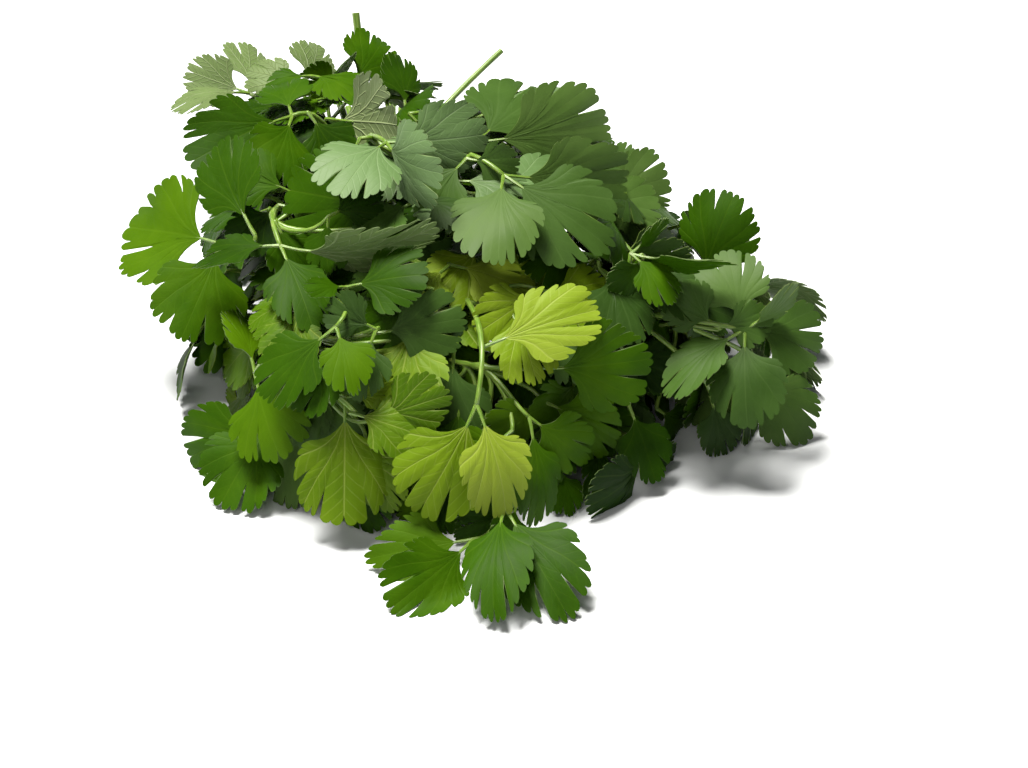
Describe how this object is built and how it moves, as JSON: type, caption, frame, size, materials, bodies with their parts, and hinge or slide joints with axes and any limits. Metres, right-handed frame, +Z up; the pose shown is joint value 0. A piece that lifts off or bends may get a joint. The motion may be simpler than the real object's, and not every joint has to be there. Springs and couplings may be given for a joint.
{
  "type": "coriander bunch",
  "caption": "Loose bunch of fresh coriander lying on its side: lobed, toothed leaves heaped before the cut ends of its stems, for cooking and garnish.",
  "frame": {"origin": "middle of the bounding box at the surface that the bunch lies on", "axes": "+Y toward the cut ends of the stems, -Y toward the leaves that spill forward, +Z up from the surface, +X to the right when looking along +Y"},
  "size_m": [0.2048, 0.2621, 0.098],
  "materials": {
    "leaf_green": "satin",
    "leaf_dark": "satin",
    "leaf_pale": "satin"
  },
  "bodies": {
    "root": {"leafy_stem_crown_right": "leaf_dark", "leafy_stem_crown_middle": "leaf_green", "leafy_stem_far_right": "leaf_dark", "leafy_stem_pale_fans": "leaf_pale", "leafy_stem_bright_right": "leaf_green", "leafy_stem_dark_middle": "leaf_dark", "leafy_stem_left_joint": "leaf_green", "leafy_stem_far_left": "leaf_green", "leafy_stem_top_left": "leaf_green", "leafy_stem_dark_left": "leaf_green", "leafy_stem_yellow_left": "leaf_green", "leafy_stem_round_front": "leaf_pale", "leafy_stem_front_spill": "leaf_green", "leafy_stem_right_low": "leaf_green", "leafy_stem_right_cluster": "leaf_green", "leafy_stem_right_upright": "leaf_green", "leafy_stem_back_left": "leaf_green", "leafy_stem_back_middle": "leaf_green", "leafy_stem_back_right": "leaf_green", "leafy_stem_under_left": "leaf_green", "leafy_stem_under_right": "leaf_green", "leafy_stem_under_front": "leaf_green"}
  },
  "joints": []
}
